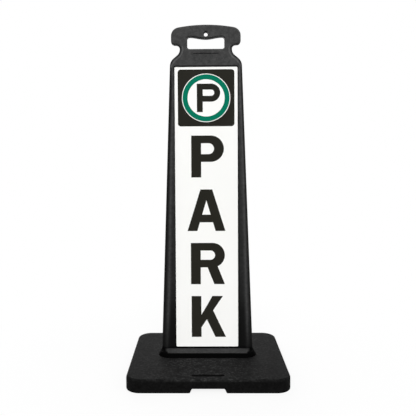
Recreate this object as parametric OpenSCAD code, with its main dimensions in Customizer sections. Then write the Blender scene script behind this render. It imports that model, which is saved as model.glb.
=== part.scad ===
// Portable parking sign: a hollow moulded panel with a grip at the top, standing in a drop-over rubber base.
// Millimetres, +Z up, front towards -Y. The origin is at the middle of the footprint, on the floor.

/* [Label] */
// Width of each reflective label sheet
sheet_w = 203.2; // [180:0.1:220]
// Height of each label sheet
sheet_h = 914.4; // [880:0.1:960]
// Corner radius of a label sheet
sheet_corner_r = 4; // [1:0.5:12]
// Thickness of every film, sheet and cut shape alike
film_t = 0.2; // [0.1:0.05:0.5]
// Bare panel left beside the sheet, on each side
sheet_side_gap = 1.4; // [0.5:0.1:4]
// Bare panel left above the sheet
sheet_top_gap = 2.1; // [0.5:0.1:8]
// Bare panel left below the sheet
sheet_low_gap = 5.5; // [1:0.1:12]

/* [Parking symbol] */
// Side of the black ground square
ground_w = 183.2; // [150:0.1:200]
// Corner radius of the black ground
ground_corner_r = 10; // [2:0.5:20]
// Bare sheet above the ground square
ground_drop = 7.7; // [4:0.1:20]
// Diameter of the white disc
disc_d = 156.3; // [150:0.1:176]
// Outer diameter of the green ring
ring_od = 151.6; // [140:0.1:158]
// Inner diameter of the green ring
ring_id = 119.8; // [118:0.1:134]
// Height of the P in the ring
mark_h = 91.4; // [70:0.1:94]
// Width of the P in the ring
mark_w = 75.3; // [60:0.1:78]
// Stroke of the P in the ring
mark_stroke = 19; // [10:0.1:22]
// Depth of the bowl of the P in the ring
mark_bowl = 58; // [46:0.1:60]
// How far the P stands right of the ring's middle, so that it looks centred
mark_shift = 7.8; // [0:0.1:8]

/* [Letters] */
// Height of the stacked letters
letter_h = 136; // [100:0.5:150]
// Stroke of the upright stems
letter_stem = 32; // [20:0.5:34]
// Stroke of the level bars
letter_bar = 25; // [16:0.5:28]
// Width of a slanting stroke, measured level
letter_slant = 34.5; // [22:0.5:36]
// Bare sheet between the ground square and the first letter
first_gap = 29.7; // [15:0.1:45]
// Bare sheet below the last letter
last_gap = 32; // [15:0.1:45]
// Width of the P
letter_p_w = 106; // [90:0.5:125]
// Depth of the bowl of the P
letter_p_bowl = 85.5; // [70:0.1:95]
// Width of the A
letter_a_w = 123.5; // [100:0.5:140]
// Width of the flat top of the A
letter_a_flat = 38.4; // [20:0.1:50]
// Width of the R
letter_r_w = 111; // [95:0.5:125]
// Depth of the bowl of the R
letter_r_bowl = 80.5; // [66:0.1:90]
// How far the leg of the R leans out from its top to its foot
letter_r_lean = 27; // [10:0.5:34]
// Width of the K
letter_k_w = 112.5; // [98:0.5:130]
// Reach of the arm of the K
letter_k_tip = 103; // [85:0.5:110]

/* [Panel] */
// Thickness of the panel between its rails
web_t = 20; // [16:0.5:26]
// Thickness of the head plate, and of the rails where they meet it
head_t = 28; // [26:0.5:36]
// Thickness over the rails at the foot
rail_low_t = 36; // [30:0.5:44]
// Width of a rail at the head
rail_top_w = 14.6; // [12:0.1:20]
// Width of a rail at the foot
rail_low_w = 46; // [30:0.5:50]
// Height of the rounded lower end of a rail
rail_end_h = 12; // [6:0.5:20]
// Wall of the hollow moulding
wall = 3; // [2:0.1:3.5]

/* [Handle] */
// Height of the head above the label recess
head_h = 133.4; // [128:0.1:145]
// Width over the two ears
ear_w = 224.8; // [210:0.1:240]
// Radius of the crown along the top edge
crown_r = 500; // [350:5:900]
// Radius of the upper corner of an ear
ear_r = 27.5; // [18:0.5:28]
// Radius of the lower corner of an ear
ear_low_r = 12; // [6:0.5:13]
// Height of the ears' undersides above the label recess
ear_low_h = 70.2; // [66:0.1:74]
// Slope of an ear's underside, as its fall from the tip to the neck
ear_fall = 1.6; // [1:0.1:4]
// Width of the neck under the ears
neck_w = 168.6; // [160:0.1:176]
// Radius between an ear and the neck
neck_r = 12.5; // [8:0.5:13]
// Height above the label recess where the neck begins to flare
flare_h = 43.4; // [40:0.1:45]
// Radius where the neck flares
flare_r = 24; // [14:0.5:26]
// Height of the shoulder above the label recess
shoulder_h = 16.1; // [14:0.1:17]
// Radius of the shoulder
shoulder_r = 34; // [20:0.5:34]
// Width of the hand window
window_w = 120.2; // [110:0.1:134]
// Height of the hand window at its ends
window_h = 39.5; // [36:0.1:43]
// Height of the hand window's sill above the label recess
sill_h = 55.4; // [50:0.1:56]
// Corner radius of the hand window
window_r = 8; // [4:0.5:12]
// Rounding of the hand window's rims
rim_r = 5; // [4:0.5:6]
// How far the grip swells down into the window
grip_swell = 6.1; // [2:0.1:8]
// Width of that swelling
grip_swell_w = 106; // [60:1:107]
// Diameter of the hanging hole
hang_d = 12.5; // [10:0.5:17]
// Height of the hanging hole above the label recess
hang_h = 103; // [102:0.1:112]
// Length of the straight stretch in the middle of the hanging hole
hang_land = 6; // [4:0.5:12]
// How far the hanging hole opens out from there to each face, all round
hang_flare = 3; // [1:0.1:4]
// Length of the groove below the window
groove_w = 80; // [40:1:110]
// Width of that groove
groove_across = 4; // [2:0.1:6]
// Depth of that groove
groove_depth = 1.2; // [0.5:0.1:1.5]
// Height of that groove above the label recess
groove_h = 41.6; // [36:0.1:44]

/* [Foot] */
// How far the foot block stands out past each rail
foot_side = 6.5; // [4:0.5:12]
// Depth of the foot block, front to back
foot_d = 70; // [60:0.5:80]
// Height of the foot block up to the edge of its sloped ledge
foot_h = 53.6; // [50:0.1:60]
// Rise of the ledge from that edge to the label recess
ledge_rise = 7.9; // [4:0.1:14]
// How far the ends of the ledge's upper edge lie in from the sides of the rails
ledge_in = 1.5; // [0.5:0.1:10]
// How far the bottom flange stands out past the foot block
flange_out = 12; // [6:0.5:18]
// Thickness of the bottom flange
flange_t = 10; // [6:0.5:14]
// Diameter of the blow hole in the underside
blow_d = 10; // [6:0.5:14]

/* [Base] */
// Width of the rubber base
base_w = 494; // [450:1:560]
// Depth of the rubber base, front to back
base_d = 410; // [370:1:480]
// Thickness of the rubber base
base_t = 40; // [34:0.5:48]
// Corner radius of the base seen from above
base_corner_r = 45; // [25:1:60]
// Rounding of the base's top edge
base_edge_r = 8; // [3:0.5:12]
// Clearance between the foot block and its slot, all round
slot_gap = 4; // [2:0.5:8]
// Clearance between the bottom flange and its rebate, all round
rebate_gap = 4; // [2:0.5:8]
// Clearance between the top of the bottom flange and its rebate
seat_gap = 0.3; // [0.2:0.1:1]
// Length of each hand slot
hand_w = 98; // [80:1:120]
// Width of each hand slot
hand_d = 14; // [10:0.5:22]
// Rubber left between a hand slot and the edge of the base
hand_bar = 25.5; // [20:0.5:40]
// Width of a finger notch along the floor
notch_w = 111; // [100:1:140]
// Slope of a finger notch's ends, as how far each leans in
notch_lean = 9; // [2:0.5:14]
// Height of a finger notch
notch_h = 13; // [10:0.5:18]

/* [Hidden] */

// Facets of true round pieces
$fn = 96;
// Steps in each arc of the moulded surfaces, and in each rounded rim; fewer inside the wall
function arc_steps(skin) = skin > 0 ? 3 : 5;
function rim_steps(skin) = skin > 0 ? 2 : 4;
// Overshoot of a cut past the face it opens
past = 1;

moulded = "#2b2b2b";
rubber = "#232323";
film_white = "#f4f4f2";
film_black = "#2b2925";
film_green = "#007d5f";

// Heights within the letters, as shares of their height
letter_a_peak = 0.74;
letter_a_bar = 0.21;
letter_k_upper = 0.54;
letter_k_lower = 0.235;
letter_k_notch = 0.43;
letter_k_elbow = 0.65;
// How far each letter stands right of the sheet's middle, so that the stack looks straight
letter_p_shift = 3.8;
letter_a_shift = -0.8;
letter_r_shift = 3.2;
letter_k_shift = 5.3;

web_half = web_t / 2;
head_half = head_t / 2;
recess_half = sheet_w / 2 + sheet_side_gap;
recess_low_z = foot_h + ledge_rise;
sheet_low_z = recess_low_z + sheet_low_gap;
sheet_top_z = sheet_low_z + sheet_h;
recess_top_z = sheet_top_z + sheet_top_gap;
top_z = recess_top_z + head_h;

// The panel's sides widen evenly from the head to the foot.
side_top = recess_half + rail_top_w;
side_low = recess_half + rail_low_w;
side_slope = (side_low - side_top) / (recess_top_z - recess_low_z);
function side_x(z) = side_top + (recess_top_z - z) * side_slope;

// The head plate's edge is rounded like the outer half of a rail where they meet.
edge_r = rail_top_w / 2;
side_flat = head_half - edge_r;

foot_half_w = side_low + foot_side;
foot_half_d = foot_d / 2;
flange_half_w = foot_half_w + flange_out;
flange_half_d = foot_half_d + flange_out;

ground_z = sheet_top_z - ground_drop - ground_w / 2;
letter_top_z = ground_z - ground_w / 2 - first_gap;
letter_low_z = sheet_low_z + last_gap;
last_row = 3;
letter_pitch = (letter_top_z - letter_low_z - letter_h) / last_row;

function unit(v) = v / norm(v);

// Points of an arc about a centre, from angle a to angle b
function arc(centre, r, a, b, n) = [
    for (i = [0 : n]) let (t = a + (b - a) * i / n) centre + r * [cos(t), sin(t)]
];

// A rounded turn at point p on the way from before to after, on an outline drawn in by inset.
// The outline runs clockwise, so a right turn is an outer corner.
function turn(before, p, after, r, inset, n) =
    let (
        u = unit(before - p),
        v = unit(after - p),
        half = acos(u * v) / 2,
        centre = p + unit(u + v) * r / sin(half),
        start = p + u * r / tan(half) - centre,
        way = cross(p - before, after - p) > 0 ? 1 : -1,
        from = atan2(start[1], start[0])
    )
    arc(centre, r + way * inset, from, from + way * (180 - 2 * half), n);

// Right half of the head's outline, from the middle of the crown down to low_z, drawn in by inset,
// with n steps in each arc
crown_turn = asin((ear_w / 2 - ear_r) / (crown_r - ear_r));
crown_centre = [0, top_z - crown_r];
ear_centre = crown_centre + (crown_r - ear_r) * [sin(crown_turn), cos(crown_turn)];
ear_tip = [ear_w / 2, recess_top_z + ear_low_h];
neck_top = [neck_w / 2, recess_top_z + ear_low_h - ear_fall];
neck_low = [neck_w / 2, recess_top_z + flare_h];
shoulder = [side_x(recess_top_z + shoulder_h), recess_top_z + shoulder_h];
side_end = [side_top, recess_top_z];

function ear_start(inset) = arc(ear_centre, ear_r - inset, 90 - crown_turn, 0, 1)[0];
function head_outline(inset, low_z, n) = concat(
    arc(crown_centre, crown_r - inset, 90, 90 - crown_turn, n),
    [for (p = arc(ear_centre, ear_r - inset, 90 - crown_turn, 0, n)) if (p != ear_start(inset)) p],
    turn([ear_tip[0], ear_centre[1]], ear_tip, neck_top, ear_low_r, inset, n),
    turn(ear_tip, neck_top, neck_low, neck_r, inset, n),
    turn(neck_top, neck_low, shoulder, flare_r, inset, n),
    [for (p = turn(neck_low, shoulder, side_end, shoulder_r, inset, n)) if (p[1] > low_z) p],
    [[side_top - inset, low_z]]
);

// Right half of the hand window's outline, from the middle of the grip down to the sill, let out by outset,
// with n steps in each arc
sill_z = recess_top_z + sill_h;
lintel_z = sill_z + window_h;
window_z = sill_z + window_h / 2;
window_half = window_w / 2;
swell_half = min(grip_swell_w / 2, window_half - window_r);
function grip_z(x) = lintel_z - grip_swell * (1 + cos(180 * x / swell_half)) / 2;

function window_outline(outset, n) = concat(
    [for (i = [0 : n]) let (x = swell_half * i / n) [x, grip_z(x) + outset]],
    arc([window_half - window_r, lintel_z - window_r], window_r + outset, 90, 0, n),
    arc([window_half - window_r, sill_z + window_r], window_r + outset, 0, -90, n)
);

// A solid through closed rings of equal length, each end closed by a fan about the middle given for it
module through_rings(rings, first_middle, last_middle) {
    n = len(rings[0]);
    last = (len(rings) - 1) * n;
    bands = [
        for (k = [0 : len(rings) - 2], i = [0 : n - 1])
            let (j = (i + 1) % n) [k * n + i, k * n + j, (k + 1) * n + j, (k + 1) * n + i]
    ];
    first = [for (i = [0 : n - 1]) [(i + 1) % n, i, last + n]];
    final = [for (i = [0 : n - 1]) [last + i, last + (i + 1) % n, last + n + 1]];
    polyhedron(
        points = concat([for (r = rings) each r], [first_middle, last_middle]),
        faces = concat(bands, first, final)
    );
}

// A whole ring at depth y from the right half of an outline whose first point is on the middle line
function whole_ring(half, y) = concat(
    [for (p = half) [p[0], y, p[1]]],
    [for (i = [len(half) - 1 : -1 : 1]) [-half[i][0], y, half[i][1]]]
);

// Inset and depth at each step of the head's rounded edge of radius r, for a surface lying in by skin
function rounded_edge(r, skin) = [
    for (i = [0 : rim_steps(skin)])
        let (t = 90 * i / rim_steps(skin))
        [r - (r - skin) * cos(t), head_half - r + (r - skin) * sin(t)]
];

// The head plate with its rounded edge, or, with skin set, the space inside its wall
module head_form(skin) {
    low_z = recess_top_z + skin;
    n = arc_steps(skin);
    half = rounded_edge(edge_r, skin);
    rings = concat(
        [for (i = [len(half) - 1 : -1 : 0]) whole_ring(head_outline(half[i][0], low_z, n), half[i][1])],
        [for (h = half) whole_ring(head_outline(h[0], low_z, n), -h[1])]
    );
    face_y = head_half - skin;
    through_rings(rings, [0, face_y, window_z], [0, -face_y, window_z]);
}

// The hand window with its rounded rims, or, with skin set, the window and the wall round it
module window_form(skin) {
    n = arc_steps(skin);
    half = concat(rounded_edge(rim_r, skin), [[rim_r, head_half + past]]);
    rings = concat(
        [for (i = [len(half) - 1 : -1 : 0]) whole_ring(window_outline(half[i][0], n), half[i][1])],
        [for (h = half) whole_ring(window_outline(h[0], n), -h[1])]
    );
    end_y = head_half + past;
    through_rings(rings, [0, end_y, window_z], [0, -end_y, window_z]);
}

// Half thickness over a rail at height z, with its lower end rounded back almost to the web
rail_trace = 0.02;
rail_end_z = recess_low_z + rail_end_h;
function rail_crest(z) =
    let (
        full = head_half + (rail_low_t / 2 - head_half) * (recess_top_z - z) / (recess_top_z - recess_low_z),
        drop = min(1, max(0, (rail_end_z - z) / rail_end_h))
    )
    web_half + (full - web_half) * max(rail_trace, sqrt(1 - drop * drop));

// Section of the right rail at height z, or, with skin set, of the space inside it at z + skin
function rail_middle(z) = (recess_half + side_x(z)) / 2;
function rail_ring(z, skin) =
    let (
        steps = rim_steps(skin),
        middle = rail_middle(z),
        crest = rail_crest(z) - skin,
        inner_x = recess_half + skin,
        inner_y = web_half - skin,
        outer_x = side_x(z) - skin,
        front = concat(
            [for (i = [0 : steps]) let (t = 90 * i / steps)
                [middle - (middle - inner_x) * cos(t), -inner_y - (crest - inner_y) * sin(t)]],
            [for (i = [1 : steps]) let (t = 90 * i / steps)
                [middle + (outer_x - middle) * sin(t), -side_flat - (crest - side_flat) * cos(t)]]
        )
    )
    concat(
        [for (p = front) [p[0], p[1], z + skin]],
        [for (i = [len(front) - 1 : -1 : 0]) [front[i][0], -front[i][1], z + skin]]
    );

// The right rail from the foot block up to the head, or, with skin set, the space inside it
module rail_form(skin) {
    low_z = foot_h - flange_t;
    n = arc_steps(skin);
    ends = [for (i = [0 : n]) recess_low_z + rail_end_h * (1 - sin(90 * i / n))];
    rings = [for (z = concat([recess_top_z], ends, [low_z])) rail_ring(z, skin)];
    through_rings(
        rings,
        [rail_middle(recess_top_z), 0, recess_top_z + skin],
        [rail_middle(low_z), 0, low_z + skin]
    );
}

// A block with round ends, upright between two heights
module round_ended(half_w, half_d, low_z, high_z) {
    translate([0, 0, low_z])
        linear_extrude(high_z - low_z) {
            square([2 * (half_w - half_d), 2 * half_d], center = true);
            for (side = [-1, 1])
                translate([side * (half_w - half_d), 0])
                    circle(half_d);
        }
}

// The foot block, drawn in to the panel by its sloped ledge, or, with skin set, the space inside it
module foot_form(skin) {
    slope = atan(ledge_rise / (foot_half_d - web_half));
    sink = skin * (1 - sin(slope)) / cos(slope);
    hull() {
        round_ended(foot_half_w - skin, foot_half_d - skin, skin, foot_h - sink);
        round_ended(side_low - ledge_in - skin, web_half - skin, skin, recess_low_z - sink);
    }
}

// The panel between its rails, reaching a little into them
module web_form(skin) {
    low_z = foot_h - flange_t;
    high_z = recess_top_z + skin;
    reach = recess_half + skin + past;
    translate([-reach, -web_half + skin, low_z])
        cube([2 * reach, web_t - 2 * skin, high_z - low_z]);
}

module both_rails(skin) {
    rail_form(skin);
    mirror([1, 0, 0])
        rail_form(skin);
}

// The hanging hole, straight in its middle and open towards both faces, or grown by skin
module hang_form(skin) {
    mid_r = hang_d / 2 + skin;
    end_r = mid_r + hang_flare;
    end_y = head_half + past;
    translate([0, 0, recess_top_z + hang_h])
        rotate([90, 0, 0])
            rotate_extrude()
                polygon([
                    [0, -end_y], [end_r, -end_y], [end_r, -head_half], [mid_r, -hang_land / 2],
                    [mid_r, hang_land / 2], [end_r, head_half], [end_r, end_y], [0, end_y]
                ]);
}

module grooves() {
    reach = (groove_across * groove_across / 4 + groove_depth * groove_depth) / (2 * groove_depth);
    for (side = [-1, 1])
        translate([-groove_w / 2, side * (head_half + reach - groove_depth), recess_top_z + groove_h])
            rotate([0, 90, 0])
                cylinder(h = groove_w, r = reach);
}

// The hollow inside the moulding, all one space
module cavity() {
    difference() {
        head_form(wall);
        window_form(wall);
        hang_form(wall);
    }
    web_form(wall);
    both_rails(wall);
    foot_form(wall);
}

// The upper end of the moulding, one piece with the panel: the two meet face to face at the recess top.
module grip_head() {
    color(moulded)
        difference() {
            head_form(0);
            window_form(0);
            hang_form(0);
            grooves();
            cavity();
        }
}

module panel_shell() {
    color(moulded)
        difference() {
            union() {
                web_form(0);
                both_rails(0);
                foot_form(0);
                round_ended(flange_half_w, flange_half_d, 0, flange_t);
            }
            cavity();
            translate([0, 0, -past])
                cylinder(h = wall + 2 * past, d = blow_d);
        }
}

// Section through the rim of the base, from its straight core outwards
module rim_section() {
    square([base_corner_r, base_t - base_edge_r]);
    square([base_corner_r - base_edge_r, base_t]);
    translate([base_corner_r - base_edge_r, base_t - base_edge_r])
        circle(base_edge_r);
}

// One straight side of the base's rim, beside the core, reach away from the middle
module rim_side(reach, length) {
    translate([reach, length / 2, 0])
        rotate([90, 0, 0])
            linear_extrude(length)
                rim_section();
}

module slab() {
    core_w = base_w - 2 * base_corner_r;
    core_d = base_d - 2 * base_corner_r;
    translate([-core_w / 2, -core_d / 2, 0])
        cube([core_w, core_d, base_t]);
    for (half_turn = [0, 180]) {
        rotate([0, 0, half_turn])
            rim_side(core_w / 2, core_d);
        rotate([0, 0, half_turn + 90])
            rim_side(core_d / 2, core_w);
        rotate([0, 0, half_turn]) {
            translate([core_w / 2, core_d / 2, 0])
                rotate_extrude(angle = 90)
                    rim_section();
            translate([-core_w / 2, core_d / 2, 0])
                rotate([0, 0, 90])
                    rotate_extrude(angle = 90)
                        rim_section();
        }
    }
}

// The hand slot and the finger notch under it, at the front edge
module hand_hold() {
    reach = hand_bar + hand_d;
    half = notch_w / 2;
    translate([0, -base_d / 2 + hand_bar + hand_d / 2, 0])
        round_ended(hand_w / 2, hand_d / 2, -past, base_t + past);
    translate([0, -base_d / 2 + reach, 0])
        rotate([90, 0, 0])
            linear_extrude(reach + past)
                polygon([
                    [-half, -past], [half, -past], [half, 0],
                    [half - notch_lean, notch_h], [notch_lean - half, notch_h], [-half, 0]
                ]);
}

module rubber_base() {
    color(rubber)
        difference() {
            slab();
            round_ended(foot_half_w + slot_gap, foot_half_d + slot_gap, -past, base_t + past);
            round_ended(flange_half_w + rebate_gap, flange_half_d + rebate_gap, -past, flange_t + seat_gap);
            for (half_turn = [0, 180])
                rotate([0, 0, half_turn])
                    hand_hold();
        }
}

module rounded_rectangle(w, h, r) {
    square([w - 2 * r, h], center = true);
    square([w, h - 2 * r], center = true);
    for (x = [-1, 1], y = [-1, 1])
        translate([x * (w / 2 - r), y * (h / 2 - r)])
            circle(r);
}

// A cut film, drawn as seen from the front, lying on as many films as layer says
module film(layer) {
    translate([0, -web_half - layer * film_t, 0])
        rotate([90, 0, 0])
            linear_extrude(film_t)
                children();
}

// A stem with a bowl at its top, from the lower left corner
module stem_and_bowl(w, h, stem, bar, bowl) {
    out_r = bowl / 2;
    in_r = out_r - bar;
    square([stem, h]);
    translate([0, h - bowl])
        difference() {
            union() {
                square([w - out_r, bowl]);
                translate([w - out_r, out_r])
                    circle(out_r);
            }
            translate([stem, bar])
                square([w - 2 * stem - in_r, 2 * in_r]);
            translate([w - stem - in_r, out_r])
                circle(in_r);
        }
}

module outline_p() {
    stem_and_bowl(letter_p_w, letter_h, letter_stem, letter_bar, letter_p_bowl);
}

module outline_a() {
    inner_w = letter_a_w - 2 * letter_stem;
    inner_x = inner_w / 2;
    peak = letter_h * letter_a_peak;
    bar_z = letter_h * letter_a_bar;
    difference() {
        polygon([
            [0, 0], [letter_a_w, 0],
            [(letter_a_w + letter_a_flat) / 2, letter_h], [(letter_a_w - letter_a_flat) / 2, letter_h]
        ]);
        translate([letter_a_w / 2, 0])
            polygon([[-inner_x, -past], [-inner_x, 0], [0, peak], [inner_x, 0], [inner_x, -past]]);
    }
    intersection() {
        translate([letter_stem, bar_z])
            square([inner_w, letter_bar]);
        polygon([[letter_stem / 2, 0], [letter_a_w - letter_stem / 2, 0], [letter_a_w / 2, letter_h]]);
    }
}

module outline_r() {
    top = letter_h - letter_r_bowl + letter_bar / 2;
    stem_and_bowl(letter_r_w, letter_h, letter_stem, letter_bar, letter_r_bowl);
    polygon([
        [letter_r_w - letter_slant, 0], [letter_r_w, 0],
        [letter_r_w - letter_r_lean, top], [letter_r_w - letter_r_lean - letter_slant, top]
    ]);
}

module outline_k() {
    upper = letter_h * letter_k_upper;
    lower = letter_h * letter_k_lower;
    rise = (letter_h - lower) / (letter_k_tip - letter_stem);
    low_z = letter_h * letter_k_notch;
    high_z = letter_h * letter_k_elbow;
    low_x = letter_stem + (low_z - lower) / rise;
    high_x = letter_stem + (high_z - lower) / rise;
    overlap = letter_slant / 4;
    square([letter_stem, letter_h]);
    polygon([
        [letter_stem - past, lower], [letter_stem, lower], [letter_k_tip, letter_h],
        [letter_k_tip - letter_slant, letter_h], [letter_stem, upper], [letter_stem - past, upper]
    ]);
    polygon([
        [letter_k_w - letter_slant, 0], [letter_k_w, 0], [high_x, high_z],
        [high_x - overlap, high_z], [low_x - overlap, low_z], [low_x, low_z]
    ]);
}

// Puts a letter in its row of the stack, counted from 0 at the top
module in_row(row, w, shift) {
    translate([shift - w / 2, letter_top_z - row * letter_pitch - letter_h])
        children();
}

module sheet() {
    color(film_white)
        film(0)
            translate([0, sheet_low_z + sheet_h / 2])
                rounded_rectangle(sheet_w, sheet_h, sheet_corner_r);
}

module symbol_ground() {
    color(film_black)
        film(1)
            translate([0, ground_z])
                rounded_rectangle(ground_w, ground_w, ground_corner_r);
}

module symbol_disc() {
    color(film_white)
        film(2)
            translate([0, ground_z])
                circle(d = disc_d);
}

module symbol_ring() {
    color(film_green)
        film(3)
            translate([0, ground_z])
                difference() {
                    circle(d = ring_od);
                    circle(d = ring_id);
                }
}

module symbol_p() {
    color(film_black)
        film(3)
            translate([mark_shift - mark_w / 2, ground_z - mark_h / 2])
                stem_and_bowl(mark_w, mark_h, mark_stroke, mark_stroke, mark_bowl);
}

module letter_p() {
    color(film_black)
        film(1)
            in_row(0, letter_p_w, letter_p_shift)
                outline_p();
}

module letter_a() {
    color(film_black)
        film(1)
            in_row(1, letter_a_w, letter_a_shift)
                outline_a();
}

module letter_r() {
    color(film_black)
        film(1)
            in_row(2, letter_r_w, letter_r_shift)
                outline_r();
}

module letter_k() {
    color(film_black)
        film(1)
            in_row(last_row, letter_k_w, letter_k_shift)
                outline_k();
}

// The back carries the same films, turned half round.
module on_back() {
    rotate([0, 0, 180])
        children();
}

grip_head();
panel_shell();
rubber_base();
sheet();  // front_sheet
symbol_ground();  // front_symbol_ground
symbol_disc();  // front_symbol_disc
symbol_ring();  // front_symbol_ring
symbol_p();  // front_symbol_p
letter_p();  // front_letter_p
letter_a();  // front_letter_a
letter_r();  // front_letter_r
letter_k();  // front_letter_k
on_back() sheet();  // back_sheet
on_back() symbol_ground();  // back_symbol_ground
on_back() symbol_disc();  // back_symbol_disc
on_back() symbol_ring();  // back_symbol_ring
on_back() symbol_p();  // back_symbol_p
on_back() letter_p();  // back_letter_p
on_back() letter_a();  // back_letter_a
on_back() letter_r();  // back_letter_r
on_back() letter_k();  // back_letter_k
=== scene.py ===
import math

import bmesh
import bpy
from mathutils import Matrix, Vector


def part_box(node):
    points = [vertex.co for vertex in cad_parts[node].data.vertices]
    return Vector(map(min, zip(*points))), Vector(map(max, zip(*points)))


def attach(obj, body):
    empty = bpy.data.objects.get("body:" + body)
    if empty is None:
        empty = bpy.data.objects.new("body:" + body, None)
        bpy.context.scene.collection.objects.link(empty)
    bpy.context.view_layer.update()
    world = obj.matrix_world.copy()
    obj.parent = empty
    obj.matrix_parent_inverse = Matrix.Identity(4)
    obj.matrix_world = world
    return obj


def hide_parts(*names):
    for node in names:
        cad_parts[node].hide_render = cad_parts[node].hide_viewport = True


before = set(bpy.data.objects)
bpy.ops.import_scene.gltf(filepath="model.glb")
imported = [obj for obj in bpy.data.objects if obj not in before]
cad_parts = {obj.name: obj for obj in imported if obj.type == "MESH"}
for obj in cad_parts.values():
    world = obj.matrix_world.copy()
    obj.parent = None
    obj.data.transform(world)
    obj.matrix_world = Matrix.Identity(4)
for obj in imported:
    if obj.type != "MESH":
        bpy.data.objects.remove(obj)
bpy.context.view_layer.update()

# The camera looks at the sign from the front, a little above its middle and a touch to the left, as the
# photograph does. Its angles are in radians, after it is turned level from looking straight down. A small
# lens shift keeps the uprights almost upright.
mm = 0.001
camera_place = Vector((-19.14, -1727.73, 710.61)) * mm
camera_yaw = 0.0140
camera_pitch = -0.0408
camera_roll = 0.0061
camera_level = math.radians(90)
picture_px = 416
focal_px = 528.52
sensor_mm = 36.0
shift_right = 0.0356
shift_up = -0.085

camera_data = bpy.data.cameras.new("camera")
camera_data.sensor_width = sensor_mm
camera_data.lens = focal_px / picture_px * sensor_mm
camera_data.shift_x = shift_right
camera_data.shift_y = shift_up
camera = bpy.data.objects.new("camera", camera_data)
bpy.context.scene.collection.objects.link(camera)
bpy.context.scene.camera = camera
aim = Matrix.Rotation(camera_yaw, 4, "Z") @ Matrix.Rotation(camera_pitch, 4, "X")
aim = aim @ Matrix.Rotation(camera_roll, 4, "Y")
camera.matrix_world = (
    Matrix.Translation(camera_place) @ aim @ Matrix.Rotation(camera_level, 4, "X")
)


# The panel is one hollow moulding of black polyethylene: a grip with a hand window at the top, a flat
# label recess between two rails that widen downwards, and a foot block with a sloped ledge. It is
# blow-moulded in two halves, so that a fine parting line runs round its edge.
head_low, head_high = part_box("grip_head")
shell_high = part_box("panel_shell")[1]
sheet_low, sheet_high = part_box("front_sheet")
head_top = head_high.z
head_half = head_high.y

# The label recess, whose floor is the web between the two sheets. A groove runs under the sheet: its
# profile gives heights, and how far each lies behind the recess's floor.
sheet_side_gap = 1.4 * mm
sheet_low_gap = 0.4 * mm
web_half = -sheet_high.y
recess_top = head_low.z
recess_low = 61.5 * mm
recess_half = sheet_high.x + sheet_side_gap
recess_r = 5.4 * mm
recess_lip = 4 * mm
corner_z = recess_top - recess_r
groove_high = sheet_low.z - sheet_low_gap
groove_profile = (
    (groove_high, 0),
    (groove_high - 1 * mm, 2.2 * mm),
    (recess_low + 1.5 * mm, 3 * mm),
    (recess_low + 0.3 * mm, 2 * mm),
    (recess_low, 0),
)

# The rails: their sides, and their ridge, which lies at a share of the way from the label to the side
side_top = 116.7 * mm
side_low = 149 * mm
side_flat = 6.7 * mm
ridge_share_top = 0.42
ridge_share = 0.63
ridge_settled = 0.35
ridge_low = 18 * mm
ridge_land = 0.6 * mm
rail_end = 12 * mm
rail_low = recess_low + rail_end
parting_depth = 0.3 * mm
parting_half = 2 * parting_depth

# The head's outline: crown, ears, neck and shoulders, and how wide its rounded edge is. The shoulder's
# turn ends where the step down to the recess would be a sliver.
crown_r = 500 * mm
ear_half = 112.4 * mm
ear_r = 27.5 * mm
ear_low_r = 12 * mm
ear_low = recess_top + 70.2 * mm
ear_fall = 1.6 * mm
neck_half = 84.3 * mm
neck_r = 12.5 * mm
flare_low = recess_top + 43.4 * mm
flare_r = 24 * mm
shoulder_z = recess_top + 17 * mm
shoulder_r = 34 * mm
shortest_step = 1 * mm
edge_wide = 6 * mm
neck_wide = 13 * mm
neck_edge_high = ear_low - 1 * mm
neck_edge_run = 12 * mm

# The hand window with its swelling lintel, the hanging hole, and the dent below the window
window_half = 60.1 * mm
window_sill = recess_top + 55.4 * mm
window_lintel = window_sill + 39.5 * mm
window_r = 8 * mm
window_rim = 3.6 * mm
window_rim_middle = 3 * mm
window_rim_reach = 25 * mm
swell = 6.1 * mm
swell_half = 52.1 * mm
hang_r = 6.25 * mm
hang_land = 3 * mm
hang_flare = 2.4 * mm
hang_edge = 0.3 * mm
hang_z = recess_top + 103 * mm
dent_half = 41 * mm
dent_r = 1.5 * mm
dent_depth = 1.2 * mm
dent_z = recess_top + 40.8 * mm

# The foot block with its sloped ledge, the flange round its bottom, and the blow hole underneath. The ledge
# has rows of points at shares of its slope, the first close to its top for the painted shade line there.
foot_half = 155.5 * mm
foot_depth = 35 * mm
foot_reach = foot_half - foot_depth
foot_edge_z = 53.6 * mm
foot_edge_r = 2.5 * mm
foot_edge_lift = 0.25
ledge_shares = (0.08, 0.3, 0.55, 0.8, 1)
flange_half = shell_high.x
flange_depth = shell_high.y
flange_top = 10 * mm
flange_edge = 1.5 * mm
blow_r = 5 * mm
blow_deep = 8 * mm

# Numbers of straight steps along the lengths that more than one row of points shares
rim_steps = 8
recess_steps = 8
corner_steps = 6
rail_steps = 16
rail_end_steps = 6


def smooth(share):
    """Eases a share from 0 to 1, and holds it there outside."""
    share = min(1, max(0, share))
    return share * share * (3 - 2 * share)


def between(first, last, share):
    """A value between two, by an eased share."""
    return first + (last - first) * smooth(share)


def arc(centre, r, first, last, steps):
    """Points of an arc in a plane, from one angle in degrees to another."""
    angles = [math.radians(first + (last - first) * i / steps) for i in range(steps + 1)]
    return [Vector((centre[0] + r * math.cos(a), centre[1] + r * math.sin(a))) for a in angles]


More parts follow.
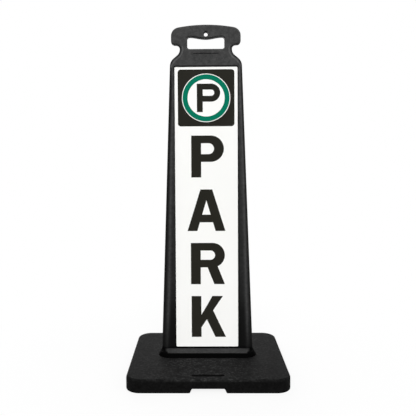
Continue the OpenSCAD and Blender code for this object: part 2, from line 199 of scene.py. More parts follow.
def turn(before, corner, after, r, inset, steps=8):
    """A rounded turn on a clockwise outline that is drawn in by inset."""
    back = (Vector(before) - Vector(corner)).normalized()
    on = (Vector(after) - Vector(corner)).normalized()
    half = back.angle(on) / 2
    centre = Vector(corner) + (back + on).normalized() * r / math.sin(half)
    start = Vector(corner) + back * r / math.tan(half) - centre
    way = -1 if (-back).cross(on) < 0 else 1
    first = math.degrees(math.atan2(start.y, start.x))
    sweep = 180 - 2 * math.degrees(half)
    return arc(centre, r + way * inset, first, first + way * sweep, steps)


def quarter_round(steps):
    """Shares of a quarter round: how far in and how far up each step lies."""
    turns = [math.pi / 2 * i / steps for i in range(steps + 1)]
    return [(1 - math.cos(a), math.sin(a)) for a in turns]


def side_x(z):
    """The panel's side at height z."""
    return side_top + (side_low - side_top) * (recess_top - z) / (recess_top - recess_low)


def ridge_x(z):
    """The ridge of a rail at height z, which leans out from the label as it comes down."""
    down = (recess_top - z) / (recess_top - recess_low)
    share = between(ridge_share_top, ridge_share, down / ridge_settled)
    return recess_half + (side_x(z) - recess_half) * share


def ridge_depth(z):
    """How far a rail's ridge stands out at height z: less and less downwards, and to nothing at its end."""
    full = head_half + (ridge_low - head_half) * min(1, (corner_z - z) / (corner_z - recess_low))
    drop = max(0, (rail_low - z) / rail_end)
    return web_half + (full - web_half) * math.sqrt(max(0, 1 - drop * drop))


def head_outline(inset):
    """Right half of the head's outline, from the crown's middle down to the label recess."""
    tilt = math.degrees(math.asin((ear_half - ear_r) / (crown_r - ear_r)))
    crown = (0, head_top - crown_r)
    ear = arc(crown, crown_r - ear_r, 90 - tilt, 90 - tilt, steps=1)[0]
    tip = (ear_half, ear_low)
    neck_top = (neck_half, ear_low - ear_fall)
    neck_low = (neck_half, flare_low)
    shoulder = (side_x(shoulder_z), shoulder_z)
    end = (side_top, recess_top)
    points = arc(crown, crown_r - inset, 90, 90 - tilt, steps=14)
    points += arc(ear, ear_r - inset, 90 - tilt, 0, steps=12)[1:]
    points += turn((ear_half, ear.y), tip, neck_top, ear_low_r, inset)
    points += turn(tip, neck_top, neck_low, neck_r, inset)
    points += turn(neck_top, neck_low, shoulder, flare_r, inset)
    whole_turn = turn(neck_low, shoulder, end, shoulder_r, 0)
    drawn_in = turn(neck_low, shoulder, end, shoulder_r, inset)
    points += [q for p, q in zip(whole_turn, drawn_in) if p.y > recess_top + shortest_step]
    return points + [Vector((side_top - inset, recess_top))]


def edge_width(z):
    """How far in the head's rounded edge reaches at height z: it is widest at the neck."""
    if z > flare_low:
        return between(edge_wide, neck_wide, (neck_edge_high - z) / neck_edge_run)
    rail_wide = side_top - ridge_x(recess_top)
    return between(rail_wide, neck_wide, (z - recess_top) / (shoulder_z - recess_top))


def head_row(share):
    """The head's outline drawn in by a share of its rounded edge."""
    trial = 10 * mm
    return [
        p + (q - p) * (edge_width(p.y) * share / trial)
        for p, q in zip(head_outline(0), head_outline(trial))
    ]


def window_outline(share):
    """Right half of the hand window's outline, let out by a share of its rim, which thins in the middle."""
    lintel_steps = 16
    points = []
    for i in range(lintel_steps + 1):
        x = swell_half * i / lintel_steps
        drop = swell * (1 + math.cos(math.pi * x / swell_half)) / 2
        rim = between(window_rim_middle, window_rim, x / window_rim_reach)
        points.append(Vector((x, window_lintel - drop + rim * share)))
    corner_x = window_half - window_r
    out = window_rim * share
    points += arc((corner_x, window_lintel - window_r), window_r + out, 90, 0, steps=8)
    points += arc((corner_x, window_sill + window_r), window_r + out, 0, -90, steps=8)
    return points + [Vector((0, window_sill - out))]


def front(points, depth):
    """Points in the panel's plane as points that lie depth in front of its middle."""
    return [(p[0], -depth, p[1]) for p in points]


def at_height(points, z):
    """Points seen from above as points at one height."""
    return [(p[0], p[1], z) for p in points]


def skin(bm, rows):
    """A strip of faces through rows of points, all of the same length, with no face at a repeated point."""
    same_digits = 7
    made = [[bm.verts.new(p) for p in row] for row in rows]
    for upper, lower in zip(made, made[1:]):
        for i in range(len(upper) - 1):
            corners = (upper[i], upper[i + 1], lower[i + 1], lower[i])
            if len({tuple(round(c, same_digits) for c in v.co) for v in corners}) > 2:
                bm.faces.new(corners)


def patch(bm, points):
    """One flat face through points."""
    bm.faces.new([bm.verts.new(p) for p in points])


def panel_quarter(bm):
    """The front right quarter of the panel, which its mirror images complete."""
    rim = quarter_round(rim_steps)

    # Rounded outer edge of the head
    edge_rows = []
    for inward, rise in rim:
        depth = side_flat + (head_half - side_flat) * (1 - inward)
        edge_rows.append(front(head_row(1 - rise), depth))
    edge_rows.append(front(head_outline(0), parting_half))
    edge_rows.append(front(head_outline(parting_depth), 0))
    skin(bm, edge_rows)

    # Rims of the hand window and of the hanging hole, and the dent below the window
    window_rows = []
    for inward, rise in rim:
        depth = head_half - window_rim + window_rim * (1 - inward)
        window_rows.append(front(window_outline(1 - rise), depth))
    window_rows.append(front(window_outline(0), 0))
    skin(bm, window_rows)
    hang_rows = []
    for r, depth in (
        (hang_r + hang_flare + hang_edge, head_half),
        (hang_r + hang_flare, head_half - hang_edge),
        (hang_r, hang_land),
        (hang_r, 0),
    ):
        hang_rows.append(front(arc((0, hang_z), r, 90, -90, steps=20), depth))
    skin(bm, hang_rows)
    dent_rows = []
    for inward, rise in quarter_round(steps=3):
        r = dent_r * (1 - inward)
        end = arc((dent_half - dent_r, dent_z), r, 90, -90, steps=8)
        outline = [(0, dent_z + r)] + end + [(0, dent_z - r)]
        dent_rows.append(front(outline, head_half - dent_depth * rise))
    skin(bm, dent_rows)

    # Slope that falls from the recess's upper edge and from the rails' ridge to the label recess
    heights = [corner_z + (rail_low - corner_z) * i / rail_steps for i in range(rail_steps + 1)]
    for i in range(1, rail_end_steps + 1):
        heights.append(rail_low - rail_end * math.sin(math.pi / 2 * i / rail_end_steps))
    heights = sorted(heights + [groove_high], reverse=True)
    slope_rows = []
    for inward, rise in quarter_round(steps=12):
        depth = web_half + (head_half - web_half) * rise
        row = []
        for i in range(recess_steps + 1):
            x = (recess_half - recess_r) * i / recess_steps
            row.append((x, -depth, recess_top + recess_lip * inward))
        wide = recess_r + (ridge_x(corner_z) - ridge_land - recess_half) * inward
        tall = recess_r + recess_lip * inward
        for i in range(1, corner_steps + 1):
            a = math.pi / 2 * i / corner_steps
            row.append((recess_half - recess_r + wide * math.sin(a), -depth, corner_z + tall * math.cos(a)))
        for z in heights[1:]:
            x = recess_half + (ridge_x(z) - ridge_land - recess_half) * inward
            row.append((x, -web_half - (ridge_depth(z) - web_half) * rise, z))
        slope_rows.append(row)
    skin(bm, slope_rows)

    # Rounded outer side of the rails, and its short upper end between the head and the rails
    outer_rows = [[(ridge_x(z) - ridge_land, -ridge_depth(z), z) for z in heights]]
    for inward, rise in rim:
        row = []
        for z in heights:
            x = ridge_x(z) + (side_x(z) - ridge_x(z)) * rise
            row.append((x, -side_flat - (ridge_depth(z) - side_flat) * (1 - inward), z))
        outer_rows.append(row)
    outer_rows.append([(side_x(z), -parting_half, z) for z in heights])
    outer_rows.append([(side_x(z) - parting_depth, 0, z) for z in heights])
    skin(bm, outer_rows)
    ends = (recess_top, corner_z)
    joint_rows = []
    for inward, rise in rim:
        depth = side_flat + (head_half - side_flat) * (1 - inward)
        joint_rows.append([(ridge_x(z) + (side_x(z) - ridge_x(z)) * rise, -depth, z) for z in ends])
    joint_rows.append([(side_x(z), -parting_half, z) for z in ends])
    joint_rows.append([(side_x(z) - parting_depth, 0, z) for z in ends])
    skin(bm, joint_rows)

    # Flat face of the head, from the crown round by its edge, the recess, the dent, the window and the hole
    recess_edge = slope_rows[-1][: recess_steps + 1 + corner_steps]
    face = edge_rows[0] + [(ridge_x(corner_z), -head_half, corner_z)]
    for row in (recess_edge, dent_rows[0], window_rows[0], hang_rows[0]):
        face += row[::-1]
    patch(bm, face)

    # Floor of the label recess, with the groove under the sheet
    groove_rows = []
    for z, deep in groove_profile:
        stations = [recess_half * i / recess_steps for i in range(recess_steps + 1)]
        groove_rows.append([(x, deep - web_half, z) for x in stations])
    skin(bm, groove_rows)
    patch(bm, [p for p in slope_rows[0] if p[2] > groove_high] + groove_rows[0][::-1])
    groove_end = [row[-1] for row in groove_rows]
    patch(bm, groove_end + [p for p in slope_rows[0][::-1][1:] if p[2] < groove_high])

    # Foot block: the ledge slopes out from the rails' ends to a rounded edge, over an upright wall
    last = [(recess_half * i / recess_steps, -web_half, recess_low) for i in range(recess_steps)]
    last += [row[-1] for row in slope_rows]
    bend = len(last)
    last += [row[-1] for row in outer_rows[1:]]

    def foot_ring(depth, z):
        """The foot's outline at height z: straight up to the bend, then round its end."""
        ring = [(p[0] * foot_reach / last[bend - 1][0], -depth, z) for p in last[:bend]]
        round_end = arc((foot_reach, 0), depth, -90, 0, steps=len(last) - bend - 1)
        return ring + at_height(round_end, z)

    edge = foot_ring(foot_depth - foot_edge_r, foot_edge_z + foot_edge_r * foot_edge_lift)
    foot_rows = [last]
    for share in ledge_shares:
        foot_rows.append([tuple(Vector(p).lerp(Vector(q), share)) for p, q in zip(last, edge)])
    for inward, rise in quarter_round(steps=4)[1:]:
        depth = foot_depth - foot_edge_r * (1 - rise)
        foot_rows.append(foot_ring(depth, foot_edge_z + foot_edge_r * (foot_edge_lift - inward)))
    foot_rows.append(foot_ring(foot_depth, flange_top))
    skin(bm, foot_rows)
    flange_rows = [foot_rows[-1]]
    flange_rows.append(foot_ring(flange_depth - flange_edge, flange_top))
    flange_rows.append(foot_ring(flange_depth, flange_top - flange_edge))
    flange_rows.append(foot_ring(flange_depth, flange_edge))
    flange_rows.append(foot_ring(flange_depth - flange_edge, 0))
    skin(bm, flange_rows)

    # Underside, with the blow hole in its middle
    hole = arc((0, 0), blow_r, -90, 0, steps=8)
    patch(bm, flange_rows[-1] + at_height(hole, 0)[::-1])
    skin(bm, [at_height(hole, 0), at_height(hole, blow_deep)])
    patch(bm, at_height(hole, blow_deep) + [(0, 0, blow_deep)])


def whole(quarter, name):
    """A mesh object from a quarter of it and its mirror images to the left and to the back."""
    weld = 0.02 * mm
    sharp_from = math.radians(40)
    bm = bmesh.new()
    quarter(bm)
    bmesh.ops.remove_doubles(bm, verts=bm.verts, dist=weld)
    for axis in ("X", "Y"):
        geometry = bm.verts[:] + bm.edges[:] + bm.faces[:]
        bmesh.ops.mirror(bm, geom=geometry, merge_dist=weld, axis=axis)
    bmesh.ops.recalc_face_normals(bm, faces=bm.faces)
    mesh = bpy.data.meshes.new(name)
    bm.to_mesh(mesh)
    bm.free()
    mesh.shade_smooth()
    mesh.set_sharp_from_angle(angle=sharp_from)
    made = bpy.data.objects.new(name, mesh)
    bpy.context.scene.collection.objects.link(made)
    flat = made.modifiers.new("even_normals", "WEIGHTED_NORMAL")
    flat.keep_sharp = True
    flat.weight = 80
    return made


panel = whole(panel_quarter, "moulded_panel")
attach(panel, "panel")
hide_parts("grip_head", "panel_shell")

# Painted light and shade on the black surface, in place of how light falls on it: from 0, black as it left
# the mould, to 1 or a little more. On the head the rounded edge has a painted highlight streak inside a
# painted shade line, from the neck down to the shoulders.
face_tone = 0.64
edge_highlight = 0.8
streak_highlight = 1.25
edge_shade_line = 0.1
lip_shade = 0.33
lintel_shade = 0.5
flare_highlight = 2.1
dent_shade = 0.1
highlight_share = 0.8
shade_line_share = 0.2
highlight_run = 10 * mm
lintel_middle = 15 * mm

# On a rail the ridge has a painted highlight streak, with painted shade in the hollow between it and the
# painted dark line beside the label, and painted shade darkens the rail towards its side and its foot. The
# left rail's painted light is a little weaker, and its highlight lies further in.
ridge_highlight = 0.8
ridge_highlight_loss = 0.14
ridge_highlight_foot = 0.16
ridge_foot_run = 150 * mm
ridge_highlight_reach = 11 * mm
hollow_shade_top = 0.5
hollow_shade = 0.2
hollow_shade_foot = 0.02
hollow_settled = 0.77
hollow_foot_high = 105 * mm
hollow_foot_run = 120 * mm
label_line = 4.5 * mm
label_line_in = 0.45 * mm
label_line_loss = 0.9
label_line_settled = 0.5
side_shade = 0.04
left_loss = 0.12
left_highlight_in = 3.5 * mm
left_top_run = 60 * mm
left_foot_run = 200 * mm

# On the foot only the ledge has painted light, as it faces up, with a painted shade line above it and a
# round corner at each lower end
ledge_highlight = 0.48
ledge_shade_line = 0.03
ledge_past_ridge = 3.5 * mm
ledge_past_reach = 8 * mm
ledge_corner = 4 * mm
ledge_corner_from = 0.6
ledge_fade = 4 * mm
touching = 0.1 * mm


def painted_head_light(depth, z):
    """Painted highlight and shade on the head's rounded edge, which lies between the side and the flat face.
    """
    share = min(1, max(0, (depth - side_flat) / (head_half - side_flat)))
    inward = 1 - math.sqrt(1 - share * share)
    if inward < highlight_share:
        streak_and_line = between(edge_shade_line, streak_highlight, (inward - shade_line_share) / (highlight_share - shade_line_share))
    else:
        streak_and_line = between(streak_highlight, face_tone, (inward - highlight_share) / (1 - highlight_share))
    plain = between(edge_highlight, face_tone, inward)
    return between(plain, streak_and_line, (ear_low - z) / highlight_run)


def painted_rail_light(x, z):
    """Painted light on a rail: a highlight along its ridge, painted shade beside the label and along the
    side.
    """
    down = (recess_top - z) / (recess_top - recess_low)
    up = z - recess_low
    ridge = between(ridge_highlight_foot, ridge_highlight - ridge_highlight_loss * down, up / ridge_foot_run)
    if x < ridge_x(z):
        lit = max(0, 1 - (ridge_x(z) - x) / ridge_highlight_reach) ** 2
        hollow = between(hollow_shade_top, hollow_shade, down / hollow_settled)
        hollow = between(hollow_shade_foot, hollow, (up - hollow_foot_high) / hollow_foot_run)
        at_label = 1 - label_line_loss * smooth(down / label_line_settled)
        beside = between(at_label, 1, (x - recess_half - label_line_in) / label_line)
        return (hollow + (ridge - hollow) * lit) * beside
    away = min(1, (x - ridge_x(z)) / (side_x(z) - ridge_x(z)))
    return ridge * (side_shade + (1 - side_shade) * (1 - away) ** 2)


def ledge_end(z):
    """Half width of the ledge's painted light at height z, with the round corner at its lower edge."""
    down = (recess_low - z) / (recess_low - foot_edge_z)
    top_x = ridge_x(recess_low) + ledge_past_ridge
    low_x = foot_reach + ledge_past_reach
    corner = ledge_corner * smooth((down - ledge_corner_from) / (1 - ledge_corner_from))
    return top_x + (low_x - top_x) * down - corner


def painted_light(p):
    """How much painted light or shade the black surface has at a point."""
    x, depth, z = abs(p.x), abs(p.y), p.z
    if z < foot_edge_z + touching:
        return 0.0
    if z < recess_low - touching:
        return ledge_highlight * (1 - smooth((x - ledge_end(z)) / ledge_fade))
    if z < recess_low + touching:
        return ledge_shade_line
    if z < recess_top:
        if x < recess_half + touching:
            return 0.0
        if p.x > 0:
            return painted_rail_light(x, z)
        middle = smooth((recess_top - z) / left_top_run) * smooth((z - recess_low) / left_foot_run)
        return painted_rail_light(x + left_highlight_in * middle, z) * (1 - left_loss)
    # Painted shade under the lintel, on the recess lip and in the dent; painted highlight atop the hang hole
    if depth < head_half - touching:
        if x < window_half + window_rim and window_sill - window_rim < z < window_lintel + window_rim:
            if z > window_lintel - window_r:
                return between(lip_shade, lintel_shade, (x - lintel_middle) / window_rim_reach)
            return face_tone
        if math.hypot(x, z - hang_z) < hang_r + hang_flare + touching:
            return flare_highlight if z > hang_z else face_tone
        if abs(z - dent_z) < dent_r and x < dent_half:
            return dent_shade
        if z < recess_top + recess_lip and x < ridge_x(recess_top):
            return lip_shade
    return painted_head_light(depth, z)


# Each point's painted light and shade, kept on the mesh for its material
layer = panel.data.attributes.new("painted_light", "FLOAT", "POINT")
layer.data.foreach_set("value", [painted_light(v.co) for v in panel.data.vertices])


def linear(code):
    """A colour for a shader from its sRGB hex code."""
    channels = [int(code[i:i + 2], 16) / 255 for i in (1, 3, 5)]
    return [c / 12.92 if c <= 0.04045 else ((c + 0.055) / 1.055) ** 2.4 for c in channels] + [1]


def new_material(name):
    """An empty material and its node tree."""
    made = bpy.data.materials.new(name)
    made.use_nodes = True
    made.node_tree.nodes.clear()
    return made, made.node_tree


def add(tree, kind, inputs=None, **settings):
    """Adds a node with its settings, and fills its inputs with values or with links from other nodes."""
    made = tree.nodes.new(kind)
    for name, value in settings.items():
        setattr(made, name, value)
    for name, value in (inputs or {}).items():
        if isinstance(value, bpy.types.NodeSocket):
            tree.links.new(value, made.inputs[name])
        else:
            made.inputs[name].default_value = value
    return made


def per(size):
    """A texture's scale from the real size of one grain of its pattern."""
    return 1 / size


# Black polyethylene from a mould with a fine spark-eroded texture: satin, with almost no sheen. Its grey is
# the painted light and shade above, broken at random into blotches the size of a palm and of a fingertip.
# The mould's grain is about 0.3 mm, too fine to show, and is drawn coarser. A noise texture stays nearly
# always within the two levels below.
patch_size = 60 * mm
mottle_size = 9 * mm
grain_size = 2.5 * mm
grain_height = 0.25 * mm
noise_low = 0.3
noise_high = 0.7
polyethylene, tree = new_material("polyethylene_blow_moulded")
place = add(tree, "ShaderNodeTexCoord").outputs["Object"]
patches = add(tree, "ShaderNodeTexNoise", {"Vector": place, "Scale": per(patch_size), "Detail": 3.0})
mottles = add(tree, "ShaderNodeTexNoise", {
    "Vector": place, "Scale": per(mottle_size), "Detail": 4.0, "Roughness": 0.75,
})
grain = add(tree, "ShaderNodeTexNoise", {"Vector": place, "Scale": per(grain_size), "Detail": 2.0})
painted_light_mask = add(tree, "ShaderNodeAttribute", attribute_name="painted_light")
broad = add(tree, "ShaderNodeMapRange", {
    "Value": patches.outputs["Fac"], "From Min": noise_low, "From Max": noise_high,
    "To Min": 0.9, "To Max": 1.1,
})
uneven = add(tree, "ShaderNodeMapRange", {
    "Value": mottles.outputs["Fac"], "From Min": noise_low, "From Max": noise_high,
    "To Min": 0.6, "To Max": 1.4,
})
mottled = add(tree, "ShaderNodeMath", {
    0: broad.outputs["Result"], 1: uneven.outputs["Result"],
}, operation="MULTIPLY")
mottled_light = add(tree, "ShaderNodeMath", {
    0: painted_light_mask.outputs["Fac"], 1: mottled.outputs["Value"],
}, operation="MULTIPLY")
tone = add(tree, "ShaderNodeMix", {
    "Factor": mottled_light.outputs["Value"], 6: linear("#050505"), 7: linear("#4a4a4a"),
}, data_type="RGBA", clamp_factor=False)
gloss = add(tree, "ShaderNodeMapRange", {
    "Value": grain.outputs["Fac"], "From Min": noise_low, "From Max": noise_high,
    "To Min": 0.5, "To Max": 0.64,
})
relief = add(tree, "ShaderNodeBump", {
    "Strength": 0.25, "Distance": grain_height, "Height": grain.outputs["Fac"],
})
surface = add(tree, "ShaderNodeBsdfPrincipled", {
    "Base Color": tone.outputs[2], "Roughness": gloss.outputs["Result"], "Normal": relief.outputs["Normal"],
    "IOR": 1.5, "Specular IOR Level": 0.06,
})
add(tree, "ShaderNodeOutputMaterial", {"Surface": surface.outputs["BSDF"]})
panel.data.materials.append(polyethylene)

# The same polyethylene in deep matt black as painted shade, on the foot's wall and flanks and in the groove
painted_shade_black, tree = new_material("polyethylene_painted_shade_black")
place = add(tree, "ShaderNodeTexCoord").outputs["Object"]
grain = add(tree, "ShaderNodeTexNoise", {"Vector": place, "Scale": per(grain_size), "Detail": 2.0})
tone = add(tree, "ShaderNodeMix", {
    "Factor": grain.outputs["Fac"], 6: linear("#020202"), 7: linear("#050505"),
}, data_type="RGBA")
relief = add(tree, "ShaderNodeBump", {
    "Strength": 0.25, "Distance": grain_height, "Height": grain.outputs["Fac"],
})
surface = add(tree, "ShaderNodeBsdfPrincipled", {
    "Base Color": tone.outputs[2], "Roughness": 0.7, "Normal": relief.outputs["Normal"],
    "IOR": 1.5, "Specular IOR Level": 0.02,
})
add(tree, "ShaderNodeOutputMaterial", {"Surface": surface.outputs["BSDF"]})
panel.data.materials.append(painted_shade_black)
# Faces that take the painted shade: below the foot's edge, on the foot's flanks and in the groove
groove_from = 0.5 * mm
flank_from = 5 * mm
for side in panel.data.polygons:
    x, depth, z = abs(side.center.x), abs(side.center.y), side.center.z
    in_groove = x < recess_half and recess_low < z < groove_high and depth < web_half - groove_from
    on_flank = z < recess_low and x > ledge_end(z) + flank_from
    if z < foot_edge_z or in_groove or on_flank:
        side.material_index = 1


# The label sheets are white reflective sheeting, die-cut with rounded corners and stuck into the recess on
# both faces. The black and green shapes are cut from gloss film and laid on top.

# Reflective sheeting: an even white with a soft gloss. Its glass beads are about 0.1 mm, too fine to show,
# and are drawn coarser.
bead_size = 1.6 * mm
bead_height = 0.05 * mm
cloud_size = 120 * mm
sheeting, tree = new_material("reflective_sheeting_white")
place = add(tree, "ShaderNodeTexCoord").outputs["Object"]
beads = add(tree, "ShaderNodeTexVoronoi", {"Vector": place, "Scale": per(bead_size)})
clouds = add(tree, "ShaderNodeTexNoise", {"Vector": place, "Scale": per(cloud_size), "Detail": 3.0})
shade = add(tree, "ShaderNodeMix", {
    "Factor": clouds.outputs["Fac"], 6: linear("#f4f4f1"), 7: linear("#f9f9f7"),
}, data_type="RGBA")
relief = add(tree, "ShaderNodeBump", {
    "Strength": 0.05, "Distance": bead_height, "Height": beads.outputs["Distance"],
})
surface = add(tree, "ShaderNodeBsdfPrincipled", {
    "Base Color": shade.outputs[2], "Roughness": 0.4, "Normal": relief.outputs["Normal"],
    "IOR": 1.5, "Specular IOR Level": 0.3,
})
add(tree, "ShaderNodeOutputMaterial", {"Surface": surface.outputs["BSDF"]})


def gloss_film(name, dark, light):
    """Cast vinyl film: an even colour with a soft gloss and a faint orange peel."""
    tint_size = 60 * mm
    peel_size = 3 * mm
    peel_height = 0.1 * mm
    made, tree = new_material(name)
    place = add(tree, "ShaderNodeTexCoord").outputs["Object"]
    tint = add(tree, "ShaderNodeTexNoise", {"Vector": place, "Scale": per(tint_size), "Detail": 4.0})
    peel = add(tree, "ShaderNodeTexNoise", {"Vector": place, "Scale": per(peel_size), "Detail": 1.0})
    shade = add(tree, "ShaderNodeMix", {
        "Factor": tint.outputs["Fac"], 6: linear(dark), 7: linear(light),
    }, data_type="RGBA")
    relief = add(tree, "ShaderNodeBump", {
        "Strength": 0.06, "Distance": peel_height, "Height": peel.outputs["Fac"],
    })
    surface = add(tree, "ShaderNodeBsdfPrincipled", {
        "Base Color": shade.outputs[2], "Roughness": 0.4, "Normal": relief.outputs["Normal"],
        "IOR": 1.45, "Specular IOR Level": 0.03,
    })
    add(tree, "ShaderNodeOutputMaterial", {"Surface": surface.outputs["BSDF"]})
    return made


black_film = gloss_film("vinyl_film_black", "#22211c", "#272621")
green_film = gloss_film("vinyl_film_green", "#006f55", "#00755b")
finishes = {
    "sheet": sheeting,
    "symbol_ground": black_film,
    "symbol_disc": sheeting,
    "symbol_ring": green_film,
    "symbol_p": black_film,
}
for letter in "park":
    finishes[f"letter_{letter}"] = black_film
for face in ("front", "back"):
    for film, finish in finishes.items():
        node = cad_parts[f"{face}_{film}"]
        node.data.materials.clear()
        node.data.materials.append(finish)


# The base is a heavy slab of moulded crumb rubber that drops over the panel's foot. It has a slot for the
# foot block, a rebate below for the flange, and at the front and back a hand slot over a finger notch.
base_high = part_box("rubber_base")[1]
base_half = base_high.x
base_depth = base_high.y
base_top = base_high.z
base_corner = 45 * mm
base_round = 8 * mm
base_low_round = 1 * mm
base_low_bend = 0.3
slot_gap = 4 * mm
slot_round = 2.5 * mm
rebate_gap = 4 * mm
rebate_top = flange_top + 0.3 * mm
hand_half = 49 * mm
hand_r = 7 * mm
hand_far = base_depth - 39.5 * mm
hand_round = 1.2 * mm
notch_half = 56 * mm
notch_flat = 47 * mm
notch_high = 13 * mm
notch_flat_steps = 5
notch_rise_steps = 8
notch_foot = notch_flat_steps + notch_rise_steps
front_stations = (60 * mm, 100 * mm, 150 * mm)


def stadium(half_w, half_d):
    """A quarter of an outline with round ends, from its front to its right end."""
    steps = 6
    points = [Vector(((half_w - half_d) * i / steps, -half_d)) for i in range(steps)]
    return points + arc((half_w - half_d, 0), half_d, -90, 0, steps=16)


def base_outline(inset):
    """A quarter of the slab's outline, with close steps where the finger notch rises."""
    straight = [notch_flat * i / notch_flat_steps for i in range(notch_flat_steps)]
    for i in range(notch_rise_steps + 1):
        straight.append(notch_flat + (notch_half - notch_flat) * i / notch_rise_steps)
    straight += front_stations
    points = [Vector((x, inset - base_depth)) for x in straight]
    corner = (base_half - base_corner, base_corner - base_depth)
    points += arc(corner, base_corner - inset, -90, 0, steps=12)
    return points + [Vector((base_half - inset, -base_depth / 2)), Vector((base_half - inset, 0))]


def notch_height(x):
    """Height of the slab's lower edge at x on its front, which rises in an S over the finger notch."""
    return notch_high * smooth((notch_half - x) / (notch_half - notch_flat))


def hand_hole(outset):
    """Half of the hand slot's outline, from its far side round its end to its near side."""
    middle = -hand_far - hand_r
    ends = arc((hand_half - hand_r, middle), hand_r + outset, 90, -90, steps=12)
    return [Vector((0, middle + hand_r + outset))] + ends + [Vector((0, middle - hand_r - outset))]


def base_quarter(bm):
    """The front right quarter of the base, which its mirror images complete."""
    rows = []
    for inward, rise in quarter_round(steps=6):
        rows.append(at_height(base_outline(base_round * (1 - rise)), base_top - base_round * inward))
    bend = base_low_round * base_low_bend
    for inset, up in ((0, base_low_round), (bend, bend), (base_low_round, 0)):
        rows.append([(p.x, p.y, notch_height(p.x) + up) for p in base_outline(inset)])
    skin(bm, rows)

    # Slot for the foot block, and the wider rebate below it for the flange
    slot_half = foot_half + slot_gap
    slot_depth = foot_depth + slot_gap
    slot_rows = []
    for inward, rise in quarter_round(steps=4):
        out = slot_round * (1 - rise)
        outline = stadium(slot_half + out, slot_depth + out)
        slot_rows.append(at_height(outline, base_top - slot_round * inward))
    slot_rows.append(at_height(stadium(slot_half, slot_depth), rebate_top))
    skin(bm, slot_rows)
    rebate = stadium(flange_half + rebate_gap, flange_depth + rebate_gap)
    skin(bm, [at_height(rebate, rebate_top), at_height(rebate, 0)])
    patch(bm, slot_rows[-1] + at_height(rebate, rebate_top)[::-1])

    # Hand slot down to the finger notch, and the flat top with both slots in it
    hand_rows = []
    for inward, rise in quarter_round(steps=4):
        hand_rows.append(at_height(hand_hole(hand_round * (1 - rise)), base_top - hand_round * inward))
    hand_rows.append(at_height(hand_hole(0), notch_high))
    skin(bm, hand_rows)
    patch(bm, rows[0] + slot_rows[0][::-1] + hand_rows[0])

    # Underside: the finger notch's side, roof and far wall, and the flat that stands on the floor
    low = rows[-1]
    far = [(p[0], -hand_far, p[2]) for p in low[: notch_foot + 1]]
    far_middle = (0, -hand_far, 0)
    skin(bm, [low[notch_flat_steps: notch_foot + 1], far[notch_flat_steps:]])
    patch(bm, low[: notch_flat_steps + 1] + [far[notch_flat_steps]] + hand_rows[-1][1:])
    patch(bm, far[notch_flat_steps:] + [far_middle] + hand_rows[-1][:2])
    patch(bm, low[notch_foot:] + at_height(rebate, 0)[::-1] + [far_middle, far[-1]])


base = whole(base_quarter, "rubber_base_slab")
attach(base, "base")
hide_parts("rubber_base")

# Crumb rubber, pressed in a mould: matt black with pale dust on what faces up, which is partly painted
# light from above. It is painted lighter still in the middle round the panel and darker towards the ends.
# The crumb is 1 to 3 mm, too fine to show, and is drawn coarser.
crumb_size = 5 * mm
crumb_height = 0.4 * mm
dust_size = 30 * mm
lit_middle_half = 60 * mm
lit_middle_reach = 200 * mm
rubber, tree = new_material("crumb_rubber_moulded")
place = add(tree, "ShaderNodeTexCoord").outputs["Object"]
crumbs = add(tree, "ShaderNodeTexVoronoi", {"Vector": place, "Scale": per(crumb_size), "Randomness": 1.0})
patches = add(tree, "ShaderNodeTexNoise", {
    "Vector": place, "Scale": per(dust_size), "Detail": 6.0, "Roughness": 0.75,
})
normal = add(tree, "ShaderNodeNewGeometry").outputs["Normal"]
facing = add(tree, "ShaderNodeSeparateXYZ", {"Vector": normal})
upward_dust_and_light = add(tree, "ShaderNodeMapRange", {
    "Value": facing.outputs["Z"], "From Min": 0.1, "From Max": 0.95, "To Min": 0.0, "To Max": 1.0,
})
dusty = add(tree, "ShaderNodeMapRange", {
    "Value": patches.outputs["Fac"], "From Min": noise_low, "From Max": noise_high,
    "To Min": 0.4, "To Max": 1.35,
})
# Painted light: the top is made lighter in the middle round the panel and darker towards the ends
across = add(tree, "ShaderNodeSeparateXYZ", {"Vector": place})
sideways = add(tree, "ShaderNodeMath", {0: across.outputs["X"]}, operation="ABSOLUTE")
middle_light = add(tree, "ShaderNodeMapRange", {
    "Value": sideways.outputs["Value"], "From Min": lit_middle_half, "From Max": lit_middle_reach,
    "To Min": 1.75, "To Max": 0.42,
})
settled_dust_and_light = add(tree, "ShaderNodeMath", {
    0: upward_dust_and_light.outputs["Result"], 1: dusty.outputs["Result"],
}, operation="MULTIPLY")
dust_and_light = add(tree, "ShaderNodeMath", {
    0: settled_dust_and_light.outputs["Value"], 1: middle_light.outputs["Result"],
}, operation="MULTIPLY")
pieces = add(tree, "ShaderNodeSeparateColor", {"Color": crumbs.outputs["Color"]})
crumb_tone = add(tree, "ShaderNodeMix", {
    "Factor": pieces.outputs["Red"], 6: linear("#060606"), 7: linear("#101010"),
}, data_type="RGBA")
specks = add(tree, "ShaderNodeMath", {0: pieces.outputs["Red"], 1: 3.0}, operation="POWER")
dust_and_light_tone = add(tree, "ShaderNodeMix", {
    "Factor": specks.outputs["Value"], 6: linear("#151515"), 7: linear("#2c2c2c"),
}, data_type="RGBA")
tone = add(tree, "ShaderNodeMix", {
    "Factor": dust_and_light.outputs["Value"], 6: crumb_tone.outputs[2], 7: dust_and_light_tone.outputs[2],
}, data_type="RGBA", clamp_factor=False)
relief = add(tree, "ShaderNodeBump", {
    "Strength": 0.5, "Distance": crumb_height, "Height": crumbs.outputs["Distance"],
})
surface = add(tree, "ShaderNodeBsdfPrincipled", {
    "Base Color": tone.outputs[2], "Roughness": 0.75, "Normal": relief.outputs["Normal"],
    "IOR": 1.5, "Specular IOR Level": 0.036,
})
add(tree, "ShaderNodeOutputMaterial", {"Surface": surface.outputs["BSDF"]})
base.data.materials.append(rubber)


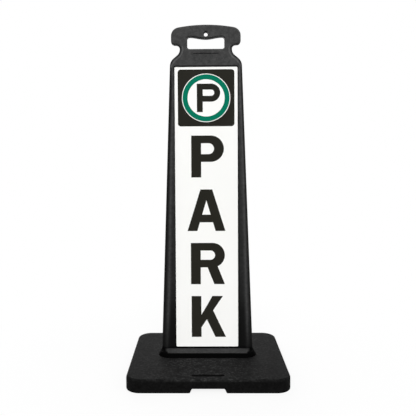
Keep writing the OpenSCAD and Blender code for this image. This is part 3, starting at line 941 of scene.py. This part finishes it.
# The sign stands on a pale studio floor, a wide sheet of background paper. It isn't part of the object.
# The camera sees it as white, with only a soft shadow round the base.
floor_half = 12.0
floor_mesh = bpy.data.meshes.new("floor")
corners = [(x * floor_half, y * floor_half, 0) for x, y in ((-1, -1), (1, -1), (1, 1), (-1, 1))]
floor_mesh.from_pydata(corners, [], [(0, 1, 2, 3)])
floor = bpy.data.objects.new("floor", floor_mesh)
bpy.context.scene.collection.objects.link(floor)


def seen_directly(tree):
    """1 for the rays that show the background itself: from the camera, off a gloss or through glass."""
    rays = add(tree, "ShaderNodeLightPath").outputs
    seen = add(tree, "ShaderNodeMath", {
        0: rays["Is Camera Ray"], 1: rays["Is Glossy Ray"],
    }, operation="MAXIMUM")
    seen = add(tree, "ShaderNodeMath", {
        0: seen.outputs["Value"], 1: rays["Is Transmission Ray"],
    }, operation="MAXIMUM")
    return seen.outputs["Value"]


# Matt paper: it is plain white where it is seen directly, a little less so near the sign, where its shadow
# shows, and it throws only a weak grey light back onto the sign
shadow_near = 0.3
shadow_reach = 0.9
shadow_glow = 0.85
paper, tree = new_material("floor_paper_pale")
place = add(tree, "ShaderNodeTexCoord").outputs["Object"]
distance = add(tree, "ShaderNodeVectorMath", {0: place}, operation="LENGTH")
fade = add(tree, "ShaderNodeMapRange", {
    "Value": distance.outputs["Value"], "From Min": shadow_near, "From Max": shadow_reach,
    "To Min": shadow_glow, "To Max": 1.0,
}, interpolation_type="SMOOTHSTEP")
direct = seen_directly(tree)
glow = add(tree, "ShaderNodeMath", {0: fade.outputs["Result"], 1: direct}, operation="MULTIPLY")
paper_tone = add(tree, "ShaderNodeMix", {
    "Factor": direct, 6: linear("#5a5a5a"), 7: linear("#f6f6f6"),
}, data_type="RGBA")
matt = add(tree, "ShaderNodeBsdfDiffuse", {"Color": paper_tone.outputs[2]})
white = add(tree, "ShaderNodeEmission", {"Color": linear("#ffffff"), "Strength": 1.0})
surface = add(tree, "ShaderNodeMixShader", {
    "Fac": glow.outputs["Value"], 1: matt.outputs["BSDF"], 2: white.outputs["Emission"],
})
add(tree, "ShaderNodeOutputMaterial", {"Surface": surface.outputs["Shader"]})
floor.data.materials.append(paper)


# The studio's walls light the sign evenly from all round and show as plain white where they are seen. Three
# soft lamps shape it: a broad key from the upper front, a weak fill from the right, and one for the back.
world = bpy.data.worlds.new("studio")
bpy.context.scene.world = world
world.use_nodes = True
tree = world.node_tree
tree.nodes.clear()
ambient = add(tree, "ShaderNodeMapRange", {"Value": seen_directly(tree), "To Min": 0.5, "To Max": 1.0})
sky = add(tree, "ShaderNodeBackground", {"Color": linear("#ffffff"), "Strength": ambient.outputs["Result"]})
add(tree, "ShaderNodeOutputWorld", {"Surface": sky.outputs["Background"]})

# Each lamp's turn round the sign and tilt from overhead in degrees, its strength, and its softness in degrees
for name, turned, tilt, strength, softness in (
    ("key", -2, 60, 2.42, 40),
    ("right_fill", 60, 68, 0.4, 60),
    ("back_fill", 190, 84, 1.8, 60),
):
    lamp = bpy.data.lights.new(name, "SUN")
    lamp.energy = strength
    lamp.angle = math.radians(softness)
    holder = bpy.data.objects.new(name, lamp)
    holder.rotation_euler = (math.radians(tilt), 0, math.radians(turned))
    bpy.context.scene.collection.objects.link(holder)

bpy.context.scene.view_settings.view_transform = "Standard"
